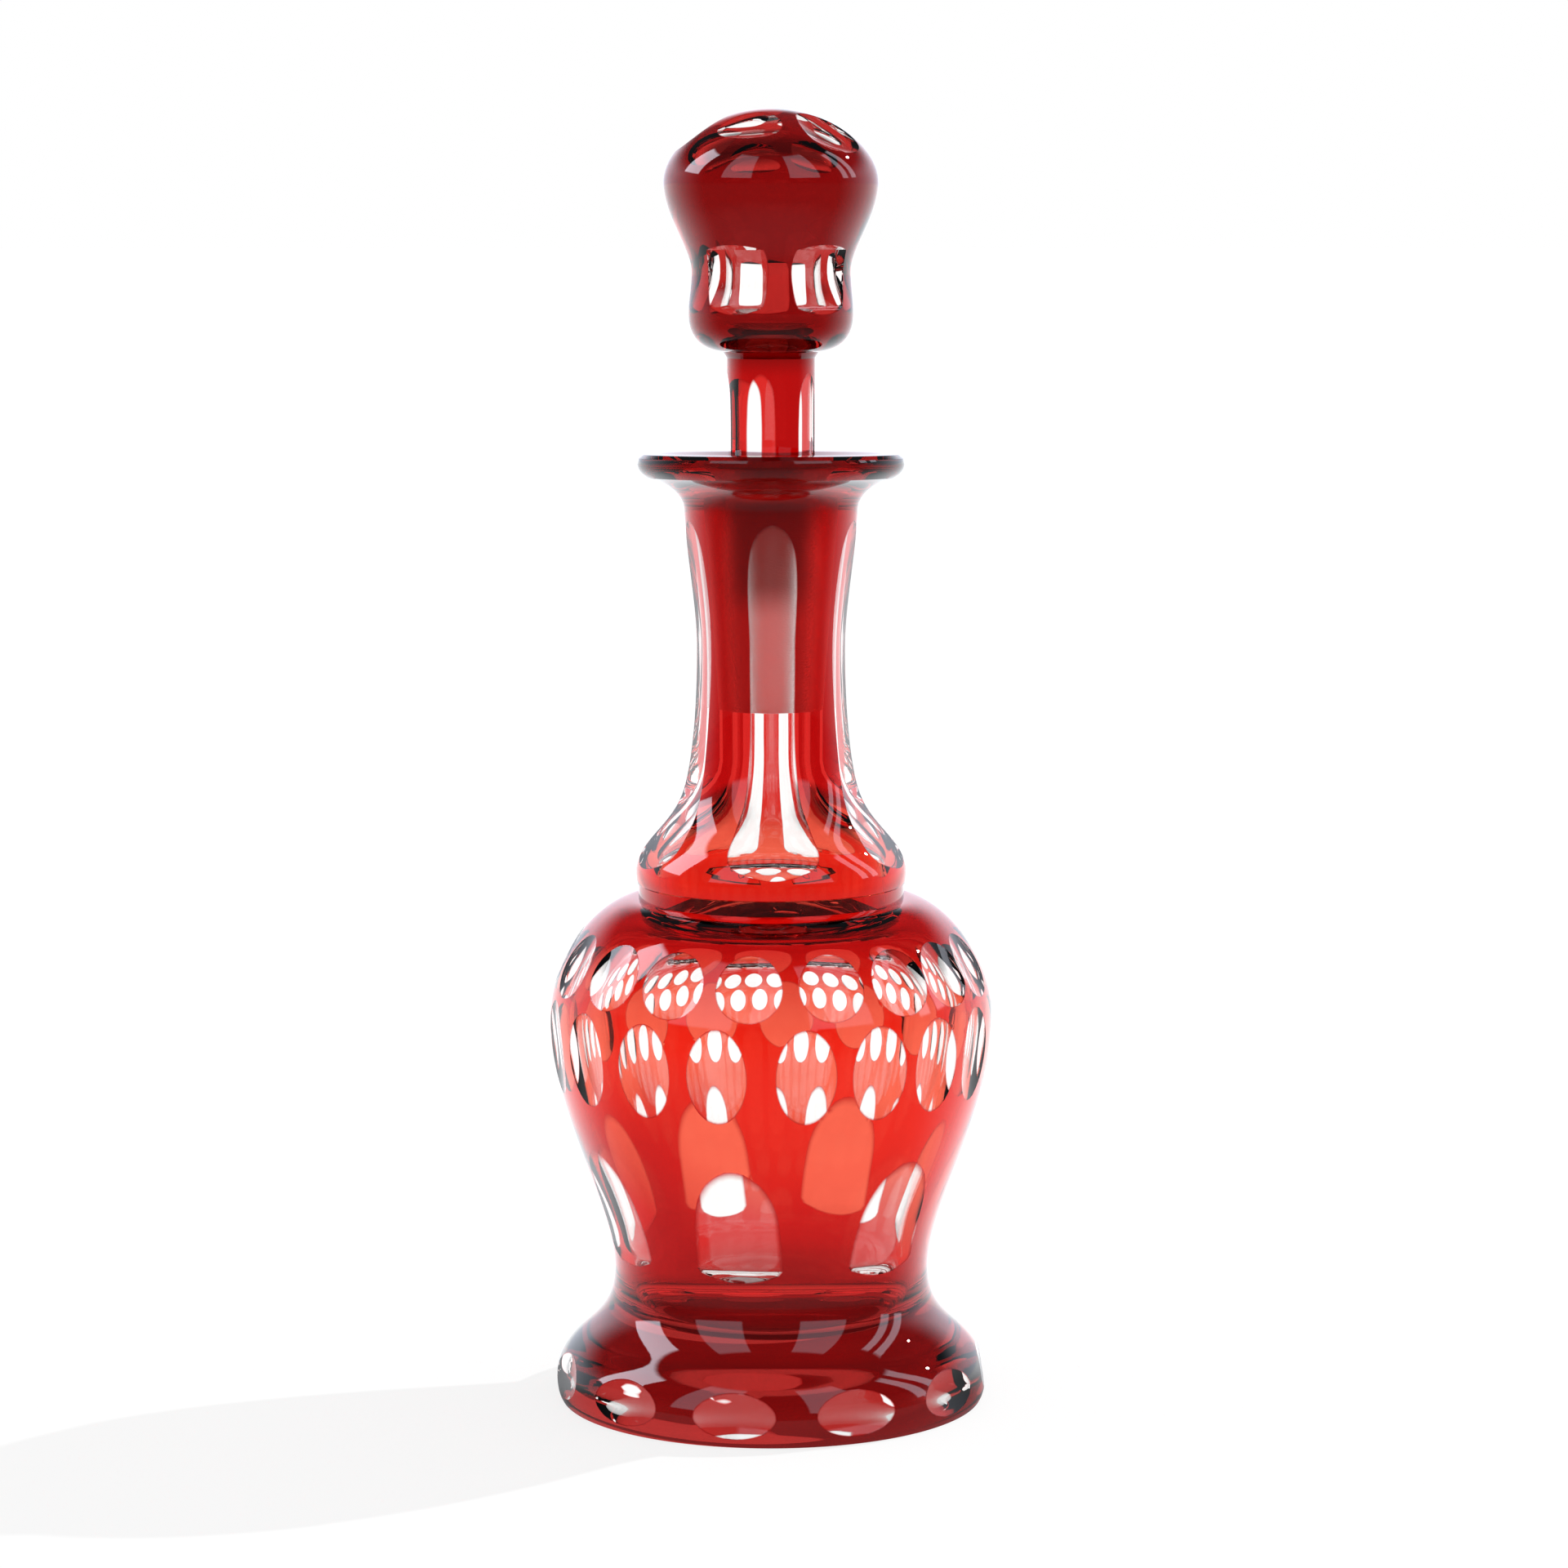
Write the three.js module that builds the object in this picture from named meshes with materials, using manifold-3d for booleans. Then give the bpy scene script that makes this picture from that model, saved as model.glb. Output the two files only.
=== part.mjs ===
// Cut glass carafe with a ground-in stopper: clear crystal cased in ruby glass,
// with round, oval, arched and fluted cuts ground through the ruby layer.
// Millimetres, +Z up, origin at the centre of the flat base.

import * as THREE from 'three';
import { mergeVertices } from 'three/addons/utils/BufferGeometryUtils.js';
import loadManifold from 'manifold-3d';

// Foot and body of the bottle
const footRadius = 57.2;
const baseRound = 1.2;
const footEdgeHeight = 5.5;
const waistRadius = 41.8;
const waistHeight = 35.0;
const bellyRadius = 58.5;
const bellyRise = 68.0;
const shoulderRise = 31.2;

// Groove, collar, neck and lip
const grooveRadius = 35.0;
const grooveHeight = 3.8;
const collarRadius = 35.7;
const collarRise = 3.2;
const flareRadius = 23.7;
const flareRise = 19.6;
const neckRadius = 19.4;
const neckRise = 39.4;
const throatRadius = 22.8;
const throatRise = 37.0;
const lipRadius = 35.0;
const lipRise = 11.0;
const lipEdgeRise = 4.2;
const lipChamfer = 2.2;
const lipChamferRise = 3.3;
const lipRound = 3.6;
const mouthRadius = 14.2;
const mouthDrop = 1.4;
const mouthBevel = 3.2;

// Inside of the bottle
const wallThickness = 4.6;
const cavityFloor = 27.0;
const collarWall = 6.0;

// Ground joint between stopper and neck
const pegTopRadius = 11.5;
const pegTaper = 0.046;
const pegLength = 62.0;
const pegClearance = 0.3;
const groundTopDrop = 6.5;

// Stopper above the ground peg
const shankLength = 28.2;
const shankBevel = 1.6;
const shankStep = 1.0;
const cupRadius = 21.5;
const cupRise = 13.0;
const stopperWaistRadius = 20.8;
const stopperWaistRise = 11.0;
const headRadius = 27.9;
const headRise = 23.0;
const domeRise = 19.0;

// Ruby casing
const rubyThickness = 0.3;
const layerGap = 0.2;
const rubyFootEdge = 1.6;
const cutEdgeShare = 0.4;

// Cuts: how many go round, and the azimuth of the first in degrees from the front
const footRing = { count: 11, first: -9.6 };
const roundRing = { count: 17, first: -5.8 };
const ovalRing = { count: 17, first: 8.4 };
const panelRing = { count: 7, first: -11.0 };
const fluteRing = { count: 5, first: 1.2 };
const windowRing = { count: 5, first: -28.0 };
const domeRing = { count: 5, first: -27.0 };
const shankRing = { count: 5, first: -13.3 };

// Lens cuts: width, lower and upper edge from a station of the outline, depth in the middle
const footLens = { width: 22.0, low: 2.3, high: 13.9, depth: 1.5 };
const roundLens = { width: 17.3, low: 7.3, high: 23.5, depth: 1.9 };
const ovalLens = { width: 16.0, low: -19.0, high: 5.8, depth: 1.7 };
const domeLens = { width: 18.4, low: 7.6, high: 17.7, depth: 2.2 };

// Flat cuts: widths at heights from a station of the outline
const panelWidths = [[4.4, 9.0], [7.6, 22.9], [23.5, 21.8], [30.5, 16.6], [34.0, 10.0], [35.8, 3.4]];
const fluteFootWidths = [[-16.6, 8.0], [-14.4, 19.0], [-11.6, 24.0], [-5.6, 20.0], [0.0, 15.6], [9.0, 12.8]];
const fluteHeadWidths = [[-26.0, 12.0], [-21.6, 9.0], [-18.6, 3.2]];
const windowWidths = [[-10.2, 11.0], [-8.0, 16.6], [4.6, 17.5], [6.7, 12.0]];
const neckFluteWidth = 12.0;
const shankFluteWidth = 7.4;
const shankFluteStart = 1.0;
const shankWidths = [[-14.0, 7.4], [-6.0, 6.0], [-2.0, 1.6]];

// Fineness of the faceted solids
const bottleSides = 28;
const stopperSides = 20;
const cutterReach = 7.0;

const wasm = await loadManifold();
wasm.setup();

// The flat base, inside its rounded edge
const baseRadius = footRadius - baseRound;

// Heights of the bottle's stations, each stacked on the one below
const bellyHeight = waistHeight + bellyRise;
const grooveBottom = bellyHeight + shoulderRise;
const collarBottom = grooveBottom + grooveHeight;
const collarHeight = collarBottom + collarRise;
const flareHeight = collarHeight + flareRise;
const neckHeight = flareHeight + neckRise;
const throatHeight = neckHeight + throatRise;
const lipHeight = throatHeight + lipRise;
const lipTop = lipHeight + lipEdgeRise;

// Heights of the stopper's stations, stacked from the mouth of the bottle
const pegTop = lipTop - groundTopDrop;
const pegBottom = pegTop - pegLength;
const cupBottom = pegTop + shankLength;
const cupHeight = cupBottom + cupRise;
const stopperWaistHeight = cupHeight + stopperWaistRise;
const headHeight = stopperWaistHeight + headRise;
const domeTop = headHeight + domeRise;

const pegRadiusAt = (z) => pegTopRadius - (pegTop - z) * pegTaper;
const boreRadiusAt = (z) => pegRadiusAt(z) + pegClearance;

const at = (radius, height) => new THREE.Vector2(radius, height);

// Joins straight runs and bends into one outline. Each run gives its number of steps,
// the handles of its bend, if it has any, and the station where it ends.
function trace(start, runs) {
  const points = [start];
  for (const [steps, ...knots] of runs) {
    const from = points[points.length - 1];
    const kinds = [THREE.LineCurve, THREE.QuadraticBezierCurve, THREE.CubicBezierCurve];
    const curve = new kinds[knots.length - 1](from, ...knots);
    points.push(...curve.getPoints(steps).slice(1));
  }
  return points;
}

// Outside of the bottle from the edge of the base to the bevel of the mouth.
// Each bend leaves one station and meets the next along its own tangent.
function bottleOutline() {
  const footRise = waistHeight - footEdgeHeight;
  const shoulderDepth = bellyRadius - grooveRadius;
  const flareDepth = collarRadius - flareRadius;
  const footDepth = flareRadius - neckRadius;
  const throatDepth = throatRadius - neckRadius;
  const lipDepth = lipRadius - throatRadius;
  return trace(at(baseRadius, 0), [
    [2, at(footRadius, footEdgeHeight * 0.3), at(footRadius, footEdgeHeight)],
    [3, at(footRadius, footEdgeHeight + footRise * 0.46),
      at(waistRadius, waistHeight - footRise * 0.58), at(waistRadius, waistHeight)],
    [4, at(waistRadius, waistHeight + bellyRise * 0.25),
      at(bellyRadius, bellyHeight - bellyRise * 0.39), at(bellyRadius, bellyHeight)],
    [4, at(bellyRadius, bellyHeight + shoulderRise * 0.46),
      at(grooveRadius + shoulderDepth * 0.48, grooveBottom), at(grooveRadius, grooveBottom)],
    [1, at(grooveRadius, collarBottom)],
    [2, at(collarRadius, collarBottom), at(collarRadius, collarHeight)],
    [3, at(collarRadius, collarHeight + flareRise * 0.34),
      at(flareRadius + flareDepth * 0.25, flareHeight - flareRise * 0.4), at(flareRadius, flareHeight)],
    [2, at(flareRadius - footDepth * 0.6, flareHeight + neckRise * 0.15),
      at(neckRadius, neckHeight - neckRise * 0.45), at(neckRadius, neckHeight)],
    [2, at(neckRadius, neckHeight + throatRise * 0.3),
      at(throatRadius - throatDepth * 0.2, throatHeight - throatRise * 0.35), at(throatRadius, throatHeight)],
    [2, at(throatRadius + throatDepth * 0.12, throatHeight + lipRise * 0.32),
      at(throatRadius + lipDepth * 0.4, throatHeight + lipRise * 0.6),
      at(lipRadius - lipChamfer, lipHeight - lipChamferRise)],
    [1, at(lipRadius, lipHeight)],
    [2, at(lipRadius, lipTop), at(lipRadius - lipRound, lipTop)],
    [1, at(mouthRadius, lipTop - mouthDrop)],
  ]);
}

// Inside of the bottle from the mouth down the ground bore to the cavity floor
function cavityOutline() {
  const innerBelly = bellyRadius - wallThickness;
  const innerWaist = waistRadius - wallThickness;
  const innerCollar = collarRadius - collarWall;
  const boreTop = lipTop - mouthDrop - mouthBevel;
  const boreEnd = boreRadiusAt(pegBottom);
  return trace(at(boreRadiusAt(boreTop), boreTop), [
    [1, at(boreEnd, pegBottom)],
    [1, at(boreEnd, flareHeight + wallThickness * 2)],
    [3, at(boreEnd, flareHeight - wallThickness),
      at(innerCollar, collarHeight + flareRise * 0.4), at(innerCollar, collarBottom)],
    [3, at(innerCollar, collarBottom - wallThickness),
      at(innerBelly, bellyHeight + shoulderRise * 0.7), at(innerBelly, bellyHeight)],
    [3, at(innerBelly, bellyHeight - bellyRise * 0.39),
      at(innerWaist, waistHeight + bellyRise * 0.28), at(innerWaist, waistHeight + wallThickness)],
    [3, at(innerWaist, cavityFloor), at(innerWaist * 0.6, cavityFloor)],
    [1, at(0, cavityFloor)],
  ]);
}

// Outside of the stopper from the top of the ground peg to the top of the dome
function stopperOutline() {
  return trace(at(pegTopRadius, pegTop), [
    [1, at(pegTopRadius, cupBottom - shankBevel)],
    [1, at(pegTopRadius + shankStep, cupBottom)],
    [3, at(pegTopRadius + shankStep * 2, cupBottom + cupRise * 0.2),
      at(cupRadius, cupHeight - cupRise * 0.45), at(cupRadius, cupHeight)],
    [2, at(cupRadius, cupHeight + stopperWaistRise * 0.33),
      at(stopperWaistRadius, stopperWaistHeight - stopperWaistRise * 0.33),
      at(stopperWaistRadius, stopperWaistHeight)],
    [4, at(stopperWaistRadius, stopperWaistHeight + headRise * 0.28),
      at(headRadius, headHeight - headRise * 0.37), at(headRadius, headHeight)],
    [5, at(headRadius, headHeight + domeRise * 0.48),
      at(headRadius * 0.55, domeTop), at(0, domeTop)],
  ]);
}

// The outline moved inwards along its own normal, leaving a point on the axis there
function inset(outline, distance) {
  return outline.map((point, i) => {
    const before = outline[Math.max(i - 1, 0)];
    const after = outline[Math.min(i + 1, outline.length - 1)];
    const along = after.clone().sub(before).normalize();
    if (point.x === 0) return at(0, point.y - distance);
    return at(point.x - along.y * distance, point.y + along.x * distance);
  });
}

// Point of an outline at a height, found on its straight runs
function pointAt(outline, z) {
  for (let i = 1; i < outline.length; i += 1) {
    const low = outline[i - 1];
    const high = outline[i];
    if (low.y <= z && z <= high.y && high.y > low.y) {
      return low.clone().lerp(high, (z - low.y) / (high.y - low.y));
    }
  }
  throw new Error(`the outline doesn't reach ${z} mm`);
}

// A closed geometry as a solid, with its shared vertices merged and its faces outwards
function solidOf(geometry) {
  geometry.deleteAttribute('normal');
  geometry.deleteAttribute('uv');
  const merged = mergeVertices(geometry, 1e-4);
  const position = merged.getAttribute('position');
  const corner = (i) => new THREE.Vector3().fromBufferAttribute(position, i);
  const triangles = [];
  let volume = 0;
  for (let i = 0; i < merged.index.count; i += 3) {
    const [a, b, c] = [0, 1, 2].map((k) => merged.index.getX(i + k));
    if (a === b || b === c || c === a) continue;
    triangles.push([a, b, c]);
    volume += corner(a).dot(corner(b).cross(corner(c)));
  }
  const outward = volume > 0 ? triangles : triangles.map(([a, b, c]) => [a, c, b]);
  return new wasm.Manifold(new wasm.Mesh({
    numProp: 3,
    vertProperties: new Float32Array(position.array),
    triVerts: new Uint32Array(outward.flat()),
  }));
}

function geometryOf(solid) {
  const mesh = solid.getMesh();
  const geometry = new THREE.BufferGeometry();
  geometry.setAttribute('position', new THREE.BufferAttribute(mesh.vertProperties, 3));
  geometry.setIndex(new THREE.BufferAttribute(mesh.triVerts, 1));
  geometry.computeVertexNormals();
  return geometry;
}

// An outline turned about the axis, with one of its facet edges at an azimuth
function turned(outline, sides, azimuth) {
  const start = THREE.MathUtils.degToRad(azimuth);
  return solidOf(new THREE.LatheGeometry(outline, sides, start).rotateX(Math.PI / 2));
}

// Point of an outline at a height, with the outward normal of the outline there
function surfaceAt(outline, z) {
  const point = pointAt(outline, z);
  const span = 0.8;
  const along = pointAt(outline, Math.min(z + span, outline[outline.length - 1].y))
    .sub(pointAt(outline, z - span)).normalize();
  return { point, normal: at(along.y, -along.x) };
}

// A cutter lofted through rows up the glass. The ends of every row lie in the gap under the
// casing, at its share of the gap, so the walls go through the ruby and the floor is ground
// into the crystal.
function loftCutter(outline, azimuth, rows) {
  const under = rubyThickness + layerGap * cutEdgeShare;
  const onGlass = (point, angle) => {
    const turn = THREE.MathUtils.degToRad(azimuth) + angle;
    return new THREE.Vector3(point.x * Math.sin(turn), -point.x * Math.cos(turn), point.y);
  };
  const middle = surfaceAt(outline, (rows[0].z + rows[rows.length - 1].z) / 2);
  const feed = onGlass(middle.normal, 0).multiplyScalar(cutterReach);
  const corners = rows.flatMap(({ z, width, depth }) => {
    const { point, normal } = surfaceAt(outline, z);
    const half = Math.asin(width / 2 / point.x);
    const edge = point.clone().addScaledVector(normal, -under);
    const [left, right] = [onGlass(edge, -half), onGlass(edge, half)];
    const floor = depth ? [onGlass(point.clone().addScaledVector(normal, -depth), 0)] : [];
    return [left, ...floor, right, right.clone().add(feed), left.clone().add(feed)];
  });
  const sides = rows[0].depth ? 5 : 4;
  const triangles = [];
  for (let row = 1; row < rows.length; row += 1) {
    for (let i = 0; i < sides; i += 1) {
      const [a, b] = [i, (i + 1) % sides].map((side) => (row - 1) * sides + side);
      triangles.push(a, b, b + sides, a, b + sides, a + sides);
    }
  }
  const last = (rows.length - 1) * sides;
  for (let i = 2; i < sides; i += 1) {
    triangles.push(0, i, i - 1, last, last + i - 1, last + i);
  }
  return solidOf(new THREE.BufferGeometry().setFromPoints(corners).setIndex(triangles));
}

function ring(cut, build) {
  return Array.from({ length: cut.count }, (_, i) => build(cut.first + (360 / cut.count) * i));
}

// A ring of oval lens cuts, dished from their edges to their middle
function lensCutters(outline, cuts, lens, datum) {
  const steps = [-0.92, -0.38, 0.38, 0.92];
  const middle = datum + (lens.low + lens.high) / 2;
  const rows = steps.map((step) => {
    const share = Math.sqrt(1 - step * step);
    return {
      z: middle + (step * (lens.high - lens.low)) / 2,
      width: lens.width * share,
      depth: rubyThickness + layerGap + (lens.depth - rubyThickness - layerGap) * share * share,
    };
  });
  return ring(cuts, (azimuth) => loftCutter(outline, azimuth, rows));
}

// A ring of cuts that are flat across. Between the stated widths they follow the outline.
function flatCutters(outline, cuts, stations) {
  const heights = stations.map(([z]) => z);
  const between = outline.map((point) => point.y)
    .filter((z) => z > heights[0] && z < heights[heights.length - 1])
    .filter((z) => heights.every((height) => Math.abs(height - z) > 1));
  const rows = [...heights, ...between].sort((a, b) => a - b).map((z) => {
    const next = Math.max(1, heights.findIndex((height) => height >= z));
    const [low, high] = [stations[next - 1], stations[next]];
    const share = (z - low[0]) / (high[0] - low[0]);
    return { z, width: THREE.MathUtils.lerp(low[1], high[1], share) };
  });
  return ring(cuts, (azimuth) => loftCutter(outline, azimuth, rows));
}

const raised = (stations, datum) => stations.map(([z, width]) => [datum + z, width]);

const clearGlass = new THREE.MeshStandardMaterial({
  color: 0xe9eeee, roughness: 0.05, metalness: 0, transparent: true, opacity: 0.45,
});
const rubyGlass = new THREE.MeshStandardMaterial({
  color: 0xb3141a, roughness: 0.05, metalness: 0, transparent: true, opacity: 0.8,
});

function named(name, solid, material) {
  const mesh = new THREE.Mesh(geometryOf(solid), material);
  mesh.name = name;
  return mesh;
}

const cutBy = (solid, cutters) => cutters.reduce((left, cutter) => left.subtract(cutter), solid);

function makeBottle() {
  const outline = bottleOutline();
  const core = inset(outline, rubyThickness + layerGap).filter((point) => point.y > layerGap);
  const crystalLine = [
    at(0, 0),
    at(baseRadius - rubyThickness - layerGap, 0),
    ...core,
    ...cavityOutline(),
  ];
  const aboveFootEdge = outline.filter((point) => point.y > rubyFootEdge + rubyThickness);
  const cased = [pointAt(outline, rubyFootEdge), ...aboveFootEdge];
  const rubyLine = [...cased, ...inset(cased, rubyThickness).reverse(), cased[0]];
  const cutters = [
    ...lensCutters(outline, footRing, footLens, 0),
    ...lensCutters(outline, roundRing, roundLens, bellyHeight),
    ...lensCutters(outline, ovalRing, ovalLens, bellyHeight),
    ...flatCutters(outline, panelRing, raised(panelWidths, waistHeight)),
    ...flatCutters(outline, fluteRing, [
      ...raised(fluteFootWidths, flareHeight),
      [neckHeight, neckFluteWidth],
      ...raised(fluteHeadWidths, lipTop),
    ]),
  ];
  return [
    named('bottle_crystal', cutBy(turned(crystalLine, bottleSides, roundRing.first), cutters), clearGlass),
    named('bottle_ruby_layer', cutBy(turned(rubyLine, bottleSides, roundRing.first), cutters), rubyGlass),
  ];
}

function makeStopper() {
  const outline = stopperOutline();
  const crystalLine = [
    at(0, pegBottom),
    at(pegRadiusAt(pegBottom), pegBottom),
    at(pegTopRadius, pegTop),
    ...inset(outline, rubyThickness + layerGap),
  ];
  const cased = outline.map((point) => point.clone());
  cased[0].y = pegTop + layerGap;
  const rubyLine = [...cased, ...inset(cased, rubyThickness).reverse(), cased[0]];
  const cutters = [
    ...lensCutters(outline, domeRing, domeLens, headHeight),
    ...flatCutters(outline, windowRing, raised(windowWidths, stopperWaistHeight)),
    ...flatCutters(outline, shankRing, [
      [pegTop + shankFluteStart, shankFluteWidth],
      ...raised(shankWidths, cupBottom),
    ]),
  ];
  return [
    named('stopper_crystal', cutBy(turned(crystalLine, stopperSides, windowRing.first), cutters), clearGlass),
    named('stopper_ruby_layer', cutBy(turned(rubyLine, stopperSides, windowRing.first), cutters), rubyGlass),
  ];
}

const carafe = new THREE.Group();
carafe.name = 'carafe';
carafe.add(...makeBottle(), ...makeStopper());

export default carafe;
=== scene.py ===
"""Cut glass carafe with a ground-in stopper, ruby cased over clear crystal, on a white table."""

import bisect
import math

import bmesh
import bpy
from bpy.props import FloatProperty, FloatVectorProperty, IntProperty, PointerProperty
from mathutils import Matrix, Vector
from mathutils.geometry import interpolate_bezier


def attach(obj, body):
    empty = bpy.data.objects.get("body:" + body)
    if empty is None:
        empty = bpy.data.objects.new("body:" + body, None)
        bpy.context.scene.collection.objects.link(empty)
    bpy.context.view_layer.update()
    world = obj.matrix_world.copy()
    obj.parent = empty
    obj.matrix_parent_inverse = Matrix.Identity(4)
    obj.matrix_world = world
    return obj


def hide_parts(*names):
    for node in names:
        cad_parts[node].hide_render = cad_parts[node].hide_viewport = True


bl_info = {
    "name": "Cut Glass Carafe",
    "version": (1, 0, 0),
    "blender": (4, 5, 0),
    "location": "3D View > Sidebar > Carafe",
    "description": "Makes a ruby cased, cut glass carafe with its stopper, and a table to show it on",
    "category": "Add Mesh",
}

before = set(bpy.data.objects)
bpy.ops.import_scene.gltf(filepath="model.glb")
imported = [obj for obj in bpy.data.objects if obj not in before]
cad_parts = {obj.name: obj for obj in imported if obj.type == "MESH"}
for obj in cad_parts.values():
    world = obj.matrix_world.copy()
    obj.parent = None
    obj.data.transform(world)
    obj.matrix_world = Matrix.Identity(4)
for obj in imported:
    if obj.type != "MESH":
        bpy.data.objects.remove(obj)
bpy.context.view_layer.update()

MM = 0.001

# The finishes of the glass, by the number of their material on a piece
CASED, CUT, INSIDE, GROUND = range(4)

# Flat cuts: widths in millimetres at heights from a station of the outline
PANEL_WIDTHS = [(4.6, 22.9), (7.8, 22.9), (15.0, 22.9), (23.5, 21.8), (30.5, 16.6), (34.0, 10.0), (35.9, 0)]
FLUTE_FOOT_WIDTHS = [(-17.4, 0), (-14.4, 20.5), (-11.6, 24.0), (-5.6, 20.0), (0.0, 15.6), (9.0, 12.8)]
NECK_FLUTE_WIDTH = 12.0
FLUTE_HEAD_WIDTHS = [(-24.7, 12.0), (-20.3, 9.0), (-17.1, 0)]
WINDOW_WIDTHS = [(-10.6, 12.8), (-8.4, 15.4), (-4.4, 17.0), (3.6, 17.4), (7.2, 15.6)]
SHANK_FLUTE_START = 1.0
SHANK_FLUTE_WIDTH = 8.0
SHANK_WIDTHS = [(-17.4, 8.0), (-9.4, 6.6), (-5.2, 0)]

# By how many degrees each cut is off its regular place, counted from the first
ROUND_SHIFTS = [0, 1.3, 1.1, -1.8, -5.6, -6, -5, -4, -3, -2, -1.5, -1, -0.5, 0, -0.9, -0.3, -0.5]
PANEL_SHIFTS = [0, 2.8, 6.1, 9.9, 8.1, 4.5, 0.8]
OVAL_SHIFTS = [0.7, -0.7, -3.2, -5.4, -5.5, -5, -4, -3, -2, -1.5, -1, -0.5, 0, 0, -0.7, -0.2, -1.0]
WINDOW_SHIFTS = [0, -7, -5, -4, -6]

# How far apart the points of an outline lie
BOTTLE_SPACING = 1.5 * MM
STOPPER_SPACING = 1.3 * MM
GROUND_SPACING = 2 * MM
HOLLOW_SPACING = 2 * MM
CAVITY_SPACING = 3 * MM
BASE_SPACING = 4 * MM

# Points of an outline this close to each other are one, and so are the vertices after its spin
SAME_POINT = 1e-7
SAME_VERTEX = 1e-6

# How far a cutter goes past the ends and sides of its cut, and out of the glass
CUTTER_MARGIN = 1.4 * MM
CUTTER_REACH = 7 * MM

# Faces that meet at more than this angle keep a crisp edge
CRISP_ANGLE = math.radians(28)

# Heights in metres between which the casing's colour changes; some of these changes are painted shade, as
# marked
# Below these heights the foot has the deep casing: a deeper layer, darkened further as painted shade for the
# dim table under it
FOOT_ENDS = (0.027, 0.035)
BLOWN_STARTS = (0.036, 0.070)
BLOWN_ENDS = (0.146, 0.166)
# The band under the collar between these heights takes the thick casing's darker colour as painted shade
SHOULDER_SHADE_STARTS = (0.100, 0.130)
SHOULDER_SHADE_ENDS = (0.134, 0.145)
# The lip's top between these heights gets the deep casing's colour as painted shade
LIP_STARTS = (0.240, 0.246)
LIP_ENDS = (0.256, 0.258)
STOPPER_STARTS = (0.270, 0.278)

# The lip's deep casing, painted shade on its dark top, starts between these radii. The left side fades out
# between these places, and the blown part starts higher up there by this much
LIP_RADII = (0.022, 0.026)
LEFT_SIDE = (-0.042, 0.004)
LEFT_RAISE = 0.022

# Faint streaks in the casing: between which values of the noise they come in, and how strong they are
STREAK_RANGE = (0.35, 0.75)
STREAK_STRENGTH = 0.12

# Ground glass: heights between which it turns to its upper colour, which is painted shade towards the mouth,
# and its grain's colour and roughness
GROUND_SHADE_CHANGE = (0.208, 0.219)
GRAIN_WHITE = (0.96, 0.96, 0.95, 1.0)
GRAIN_ROUGHNESS = 0.2
POLISHED = 0.0

# The camera, the sun and the table, in metres and degrees, but for the lens and sensor in millimetres
CAMERA_LENS = 106.5
SENSOR_WIDTH = 36
CAMERA_PITCH = 7.45
CAMERA_PLACE = (0.0034, -1.2105, 0.3224)
SUN_FROM = (0.72, 0.385, 0.57)
SUN_STRENGTH = 2.6
SUN_WIDTH = 0.9
TABLE_SIZE = 20.0
TABLE_DROP = 0.1 * MM

WHITE = (1.0, 1.0, 1.0, 1.0)
ROOM_TINT = (0.84, 0.88, 1.0, 1.0)
TABLE_TINT = (0.94, 0.96, 1.0, 1.0)
TABLE_GREY = (0.9, 0.9, 0.9, 1.0)

# Light seen through the glass: the backdrop dims as the view rises, and the table is darker under the foot,
# a painted contact shadow
BACKDROP_LIGHT = 1.18
BACKDROP_LOSS = 0.88
BACKDROP_RISES = (0.30, 0.75)
UNDER_LIGHT = 0.55
UNDER_GAIN = 0.63
UNDER_RADII = (0.036, 0.056)

# Light that falls on the table, and the share of the table's look that is its own light
FILL_LIGHT = 0.8
TABLE_SHARE = 0.8

# Light in the gloss: a dark room over a dim table, and both turn white from the front round to the back
ROOM_LIGHT = 0.08
TABLE_LIGHT = 0.27
TABLE_LOSS = 0.15
TABLE_RADII = (0.15, 0.7)
SWEEP_LIGHT = 1.5
SWEEP_AZIMUTHS = (75, 150)
SWEEP_RISES = (0.2, 0.5)

# Windows in the gloss: azimuths of their sides in degrees, rises of their foot and head, and light
FRONT_PANE = (20, 56, 0.20, 0.90, 1.5)
SIDE_PANES = [(-112, -86, 0.28, 0.80, 7.0), (84, 93, 0.14, 0.80, 3.0), (97, 106, 0.14, 0.80, 3.0)]
PANE_SOFT_SIDE = 1.5
PANE_SOFT_FOOT = 0.04
PANE_SOFT_HEAD = 0.03


def length(name, description, default):
    return FloatProperty(name=name, description=description, default=default * MM, unit="LENGTH")


def angle(name, description, default):
    return FloatProperty(name=name, description=description, default=math.radians(default), subtype="ANGLE")


def number(name, description, default):
    return FloatProperty(name=name, description=description, default=default)


def share(name, description, default):
    return FloatProperty(
        name=name, description=description, default=default, min=0, max=1, subtype="FACTOR"
    )


def whole(name, description, default, least=1):
    return IntProperty(name=name, description=description, default=default, min=least)


def lens_sizes(name, place, default):
    return FloatVectorProperty(
        name=name, description=f"Width, lower edge, upper edge and depth of the cuts {place}",
        default=[size * MM for size in default], size=4, unit="LENGTH",
    )


def glass_colour(name, description, default):
    return FloatVectorProperty(
        name=name, description=description, default=default, size=4, min=0, max=1, subtype="COLOR"
    )


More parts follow.
